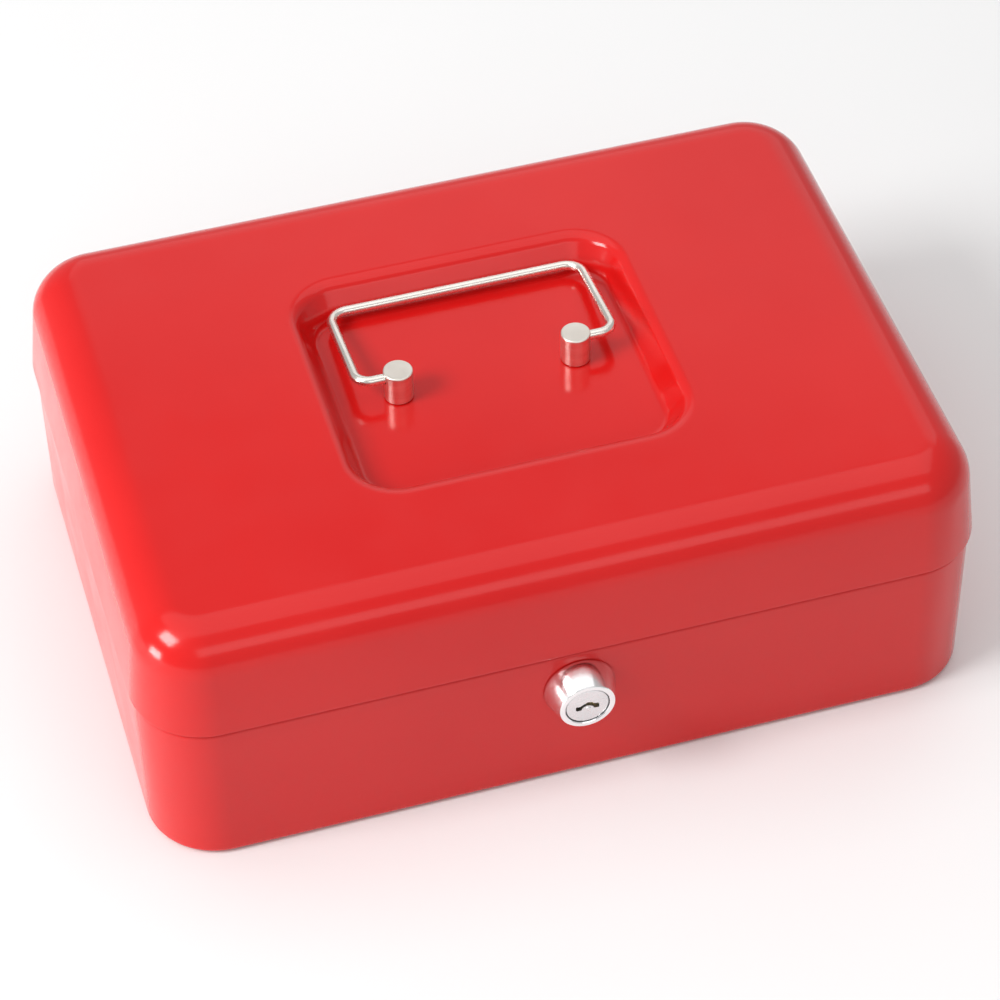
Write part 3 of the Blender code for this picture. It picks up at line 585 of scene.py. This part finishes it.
def bend(corner, before, after, radius, steps=16):
    """Quarter turn that rounds a corner between two directions."""
    start = corner - before * radius
    centre = start + after * radius
    angles = [math.pi / 2 * step / steps for step in range(steps + 1)]
    return [centre - after * radius * math.cos(a) + before * radius * math.sin(a) for a in angles]


def build_handle():
    """Round wire swept along the bail, with broken edges at its ends."""
    right = Vector((1, 0, 0))
    back = Vector((0, math.cos(HANDLE_TILT), -math.sin(HANDLE_TILT)))
    normal = right.cross(back)
    points = [Vector((-WIRE_END_X, 0, 0))]
    points += bend(Vector((-ARM_X, 0, 0)), -right, back, END_BEND)
    points += bend(-right * ARM_X + back * ARM_LENGTH, back, right, BAR_BEND)
    points += bend(right * ARM_X + back * ARM_LENGTH, right, -back, BAR_BEND)
    points += bend(Vector((ARM_X, 0, 0)), -back, -right, END_BEND)
    points.append(Vector((WIRE_END_X, 0, 0)))
    edge = WIRE_END_EDGE
    bm = bmesh.new()
    rings = []
    count = len(points)
    for index, point in enumerate(points):
        ahead = points[min(index + 1, count - 1)] - points[max(index - 1, 0)]
        side = normal.cross(ahead.normalized())
        centres = [(point, WIRE_RADIUS)]
        if index == 0:
            centres = [(point, WIRE_RADIUS - edge), (point - right * edge, WIRE_RADIUS)]
        if index == count - 1:
            centres = [(point + right * edge, WIRE_RADIUS), (point, WIRE_RADIUS - edge)]
        for centre, radius in centres:
            angles = [2 * math.pi * i / WIRE_STEPS for i in range(WIRE_STEPS)]
            rings.append([bm.verts.new(centre + radius * (side * math.cos(a) + normal * math.sin(a)))
                          for a in angles])
    for first, second in zip(rings, rings[1:]):
        for i in range(WIRE_STEPS):
            j = (i + 1) % WIRE_STEPS
            bm.faces.new((first[i], first[j], second[j], second[i]))
    bm.faces.new(rings[0][::-1])
    bm.faces.new(rings[-1])
    bmesh.ops.translate(bm, vec=(0, POST_Y, PIVOT_Z), verts=bm.verts)
    dress(finish_mesh("handle_wire", bm, NICKEL), "handle", "nickel_wire", "handle")


def build_post(side, word):
    edge, foot = POST_ROUND, POST_FOOT_EDGE
    height = POST_HIGH.z - POST_LOW.z
    bore = SCREW_RADIUS + GAP
    section = [(0, SCREW_DEPTH), (bore, SCREW_DEPTH), (bore, 0), (POST_RADIUS - foot, 0)]
    section += [(POST_RADIUS, foot), (POST_RADIUS, height - edge - SUPPORT)]
    section += arc((POST_RADIUS - edge, height - edge), edge, 0, 90, 6)
    section += [(POST_RADIUS - edge - SUPPORT, height), (0, height)]
    post = lathe(f"post_{word}", section, POST_NICKEL, (side * POST_X, POST_Y, POST_LOW.z), "Z")
    ends = sorted((side * (WIRE_END_X - 2 * GAP - POST_X), side * 2 * POST_RADIUS))
    hole = cylinder("hole", WIRE_HOLE_RADIUS, *ends, (side * POST_X, POST_Y, PIVOT_Z), "X")
    dress(cut(post, [hole]), "lid", "nickel_post", f"handle_post_{word}")


# Lock

def build_lock():
    face = -HEAD_LENGTH
    lip, mouth = HEAD_ROUND, BORE_EDGE
    end = BARREL_END_Y - BASE_FRONT_Y
    section = [(BORE_RADIUS, face + mouth), (BORE_RADIUS + mouth, face)]
    section += [(HEAD_FACE_RADIUS - lip - SUPPORT, face)]
    section += arc((HEAD_FACE_RADIUS - lip, face + lip), lip, -90, -14, 6)
    section += [(HEAD_WALL_RADIUS, -HEAD_FOOT), (HEAD_WALL_RADIUS, -GAP), (BARREL_RADIUS, -GAP)]
    section += [(BARREL_RADIUS, end), (BORE_RADIUS, end)]
    body = lathe("lock_head", section, CHROME, (0, BASE_FRONT_Y, LOCK_Z), "Y", HEAD_STEPS)
    dress(body, "base", "lock_chrome", "lock_body")


def build_plug():
    """Plug with a bent keyway and a small boss under it on its face."""
    face, shoulder = PLUG_FACE_Y, BARREL_END_Y + GAP
    tail_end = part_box("lock_plug")[1].y
    edge = PLUG_ROUND
    length = shoulder - face
    section = [(0, 0), (PLUG_RADIUS - edge - SUPPORT, 0)]
    section += arc((PLUG_RADIUS - edge, edge), edge, -90, 0, 4)
    section += [(PLUG_RADIUS, length), (0, length)]
    plug = lathe("plug_turned", section, PLUG_CHROME, (0, face, LOCK_Z), "Y")
    half = CAM_SQUARE / 2
    tail = box("tail", (-half, shoulder - 1 * MM, LOCK_Z - half), (half, tail_end, LOCK_Z + half))
    cut(plug, [tail], "UNION")
    outline = [(x * MM, LOCK_Z + z * MM) for x, z in KEYWAY]
    cutters = [extrude_outline("keyway", outline, face - 1 * MM, face + KEYWAY_DEPTH, None, "Y"),
               cylinder("bore", CAM_SCREW_BORE, -4 * MM, 2 * MM, (0, tail_end, LOCK_Z), "Y")]
    for index in range(WAFER_COUNT):
        middle = BASE_FRONT_Y - HEAD_LENGTH + WAFER_FIRST + index * WAFER_PITCH
        cutters.append(box("slot", (-2 * PLUG_RADIUS, middle - WAFER_HALF[0], LOCK_Z - WAFER_HALF[1]),
                           (SLOT_END_X, middle + WAFER_HALF[0], LOCK_Z + WAFER_HALF[1])))
    cut(plug, cutters)
    dome = arc((0, 0), BOSS_RADIUS, 90, 0, 6)
    section = [(0, -BOSS_HEIGHT)] + [(r, -BOSS_HEIGHT * a / BOSS_RADIUS) for r, a in dome[1:]]
    section += [(BOSS_RADIUS, BOSS_ROOT), (0, BOSS_ROOT)]
    boss = lathe("boss", section, None, (BOSS_X, face, LOCK_Z + BOSS_Z), "Y", SMALL_STEPS)
    dress(cut(plug, [boss], "UNION"), "plug", "plug_chrome", "lock_plug")


# Strike

def build_strike():
    """Bent plate with rounded folds, in the outline of its CAD node."""
    low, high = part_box("lid_strike")
    shelf_z, lip_z = STRIKE_SHELF_Z, STRIKE_LIP_Z
    tongue_y, lip = TONGUE_Y, STRIKE_LIP
    t = STRIKE_THICKNESS

    def wall(z):
        return -LID_DEPTH / 2 + wall_inset(z, SHEET + GAP)

    under = shelf_z - t
    outline = [(wall(high.z), high.z), (wall(under), under), (tongue_y, under),
               (tongue_y, lip_z - t), (tongue_y + lip, lip_z - t), (tongue_y + lip, lip_z),
               (tongue_y + t, lip_z), (tongue_y + t, shelf_z), (wall(shelf_z) + t, shelf_z),
               (wall(high.z) + t, high.z)]
    strike = extrude_outline("strike_plate", outline, low.x, high.x, ZINC)
    dress(soften(strike, STRIKE_ROUND), "lid", "zinc_steel", "lid_strike")


# Coin tray

def pocket(low_x, high_x, low_y, high_y):
    """Cutter for one compartment, scooped out towards its floor."""
    centre = ((low_x + high_x) / 2, (low_y + high_y) / 2)
    half_x, half_y = (high_x - low_x) / 2, (high_y - low_y) / 2
    floor_z = TRAY_LOW.z + TRAY_WALL
    corner = TRAY_CORNER - TRAY_WALL
    levels = []
    for step in range(POCKET_STEPS + 1):
        angle = math.radians(90 * step / POCKET_STEPS)
        inset = CUP_SCOOP * (1 - math.sin(angle)) + TRAY_DRAFT
        z = floor_z + CUP_SCOOP * (1 - math.cos(angle))
        levels.append((inset, z))
    levels += [(TRAY_EDGE, TRAY_HIGH.z - TRAY_EDGE), (0, TRAY_HIGH.z), (0, TRAY_HIGH.z + TRAY_WALL)]
    loops = [rounded_rect(half_x - inset, half_y - inset, corner - inset, z, centre, POCKET_STEPS)
             for inset, z in levels]
    return finish_mesh("pocket", stack_loops(loops))


def build_tray():
    half_x = TRAY_HIGH.x - TRAY_FLANGE
    front_y, back_y = TRAY_LOW.y + TRAY_RIM, TRAY_HIGH.y - TRAY_RIM
    centre = (0, (front_y + back_y) / 2)
    half_y = (back_y - front_y) / 2
    rest_z = TRAY_HIGH.z - TRAY_WALL
    edge = TRAY_BOTTOM_ROUND
    outside = [(half_x - TRAY_DRAFT - edge, TRAY_DRAFT + edge, TRAY_LOW.z)]
    for angle in range(15, 91, 15):
        turn = math.radians(angle)
        outside.append((half_x - TRAY_DRAFT - edge * (1 - math.sin(turn)),
                        TRAY_DRAFT + edge * (1 - math.sin(turn)),
                        TRAY_LOW.z + edge * (1 - math.cos(turn))))
    flange, rim = half_x + TRAY_FLANGE, -TRAY_RIM
    outside += [(half_x, 0, rest_z), (flange, rim, rest_z), (flange, rim, TRAY_HIGH.z - TRAY_EDGE),
                (flange - TRAY_EDGE, rim + TRAY_EDGE, TRAY_HIGH.z)]
    loops = [rounded_rect(x, half_y - inset, TRAY_CORNER, z, centre, TRAY_CORNER_STEPS)
             for x, inset, z in outside]
    tray = finish_mesh("tray_moulded", stack_loops(loops), PLASTIC)
    inner_x = half_x - TRAY_WALL
    pitch = (2 * inner_x + TRAY_WALL) / COIN_CUPS
    cutters = []
    for index in range(COIN_CUPS):
        low_x = -inner_x + index * pitch
        cutters.append(pocket(low_x, low_x + pitch - TRAY_WALL, front_y + TRAY_WALL, CUP_SPLIT_Y))
    cutters.append(pocket(-inner_x, inner_x, CUP_SPLIT_Y + TRAY_WALL, back_y - TRAY_WALL))
    dress(cut(tray, cutters), "tray", "tray_plastic", "coin_tray")


def dress_kept_nodes():
    """Materials for the small CAD nodes that stay."""
    for name, node in frame["nodes"].items():
        if node.hide_render:
            continue
        material = BRASS if name.startswith("wafer_") and "spring" not in name else ZINC
        node.data.materials.clear()
        node.data.materials.append(material)


# Studio

def panel(name, location, target, size, power):
    """Rectangular softbox that faces a point; its power is in watts."""
    light = bpy.data.lights.new(name, "AREA")
    light.shape = "RECTANGLE"
    light.size, light.size_y = size
    light.energy = power
    lamp = bpy.data.objects.new(name, light)
    lamp.location = location
    lamp.rotation_euler = (Vector(target) - Vector(location)).to_track_quat("-Z", "Y").to_euler()
    bpy.context.scene.collection.objects.link(lamp)


def build_studio():
    world = bpy.data.worlds.new("studio")
    bpy.context.scene.world = world
    world.use_nodes = True
    background = world.node_tree.nodes["Background"]
    background.inputs["Color"].default_value = (1, 1, 1, 1)
    background.inputs["Strength"].default_value = WORLD_STRENGTH
    bpy.context.scene.view_settings.view_transform = "Standard"
    bm = bmesh.new()
    bmesh.ops.create_grid(bm, x_segments=1, y_segments=1, size=FLOOR_HALF)
    look = Look("floor_white", (0.82, 0.82, 0.82), 0.6)
    look.colour(look.noise(3, 2), (0.81, 0.81, 0.81), (0.83, 0.83, 0.83))
    floor = finish_mesh("floor", bm, look.material)
    panel("key_light", (-1.3, -0.25, 1.25), AIM, (0.7, 0.6), 21)
    panel("overhead_card", (0, 0.2, 1.7), AIM, (2.4, 1.6), 9)
    panel("front_light", (0.2, -1.5, 1.15), AIM, (1.6, 0.6), 3.5)
    panel("back_card", (0.9, 2.2, 1.45), AIM, (2.4, 1.4), 5.5)
    panel("left_light", (-1.5, -0.24, 0.17), (0, 0, 0.06), (0.45, 0.35), 9)


def build_camera():
    camera = bpy.data.cameras.new("camera")
    camera.sensor_width = 36
    camera.lens = CAMERA_LENS
    camera.clip_end = 20
    obj = bpy.data.objects.new("camera", camera)
    obj.location = CAMERA_PLACE
    obj.rotation_euler = Euler([math.radians(angle) for angle in CAMERA_DEGREES])
    bpy.context.scene.collection.objects.link(obj)
    bpy.context.scene.camera = obj


build_lid()
build_base()
build_handle()
for post_side, post_word in ((-1, "left"), (1, "right")):
    build_hinge(post_side, post_word)
    build_post(post_side, post_word)
build_lock()
build_plug()
build_strike()
build_tray()
dress_kept_nodes()
build_studio()
build_camera()
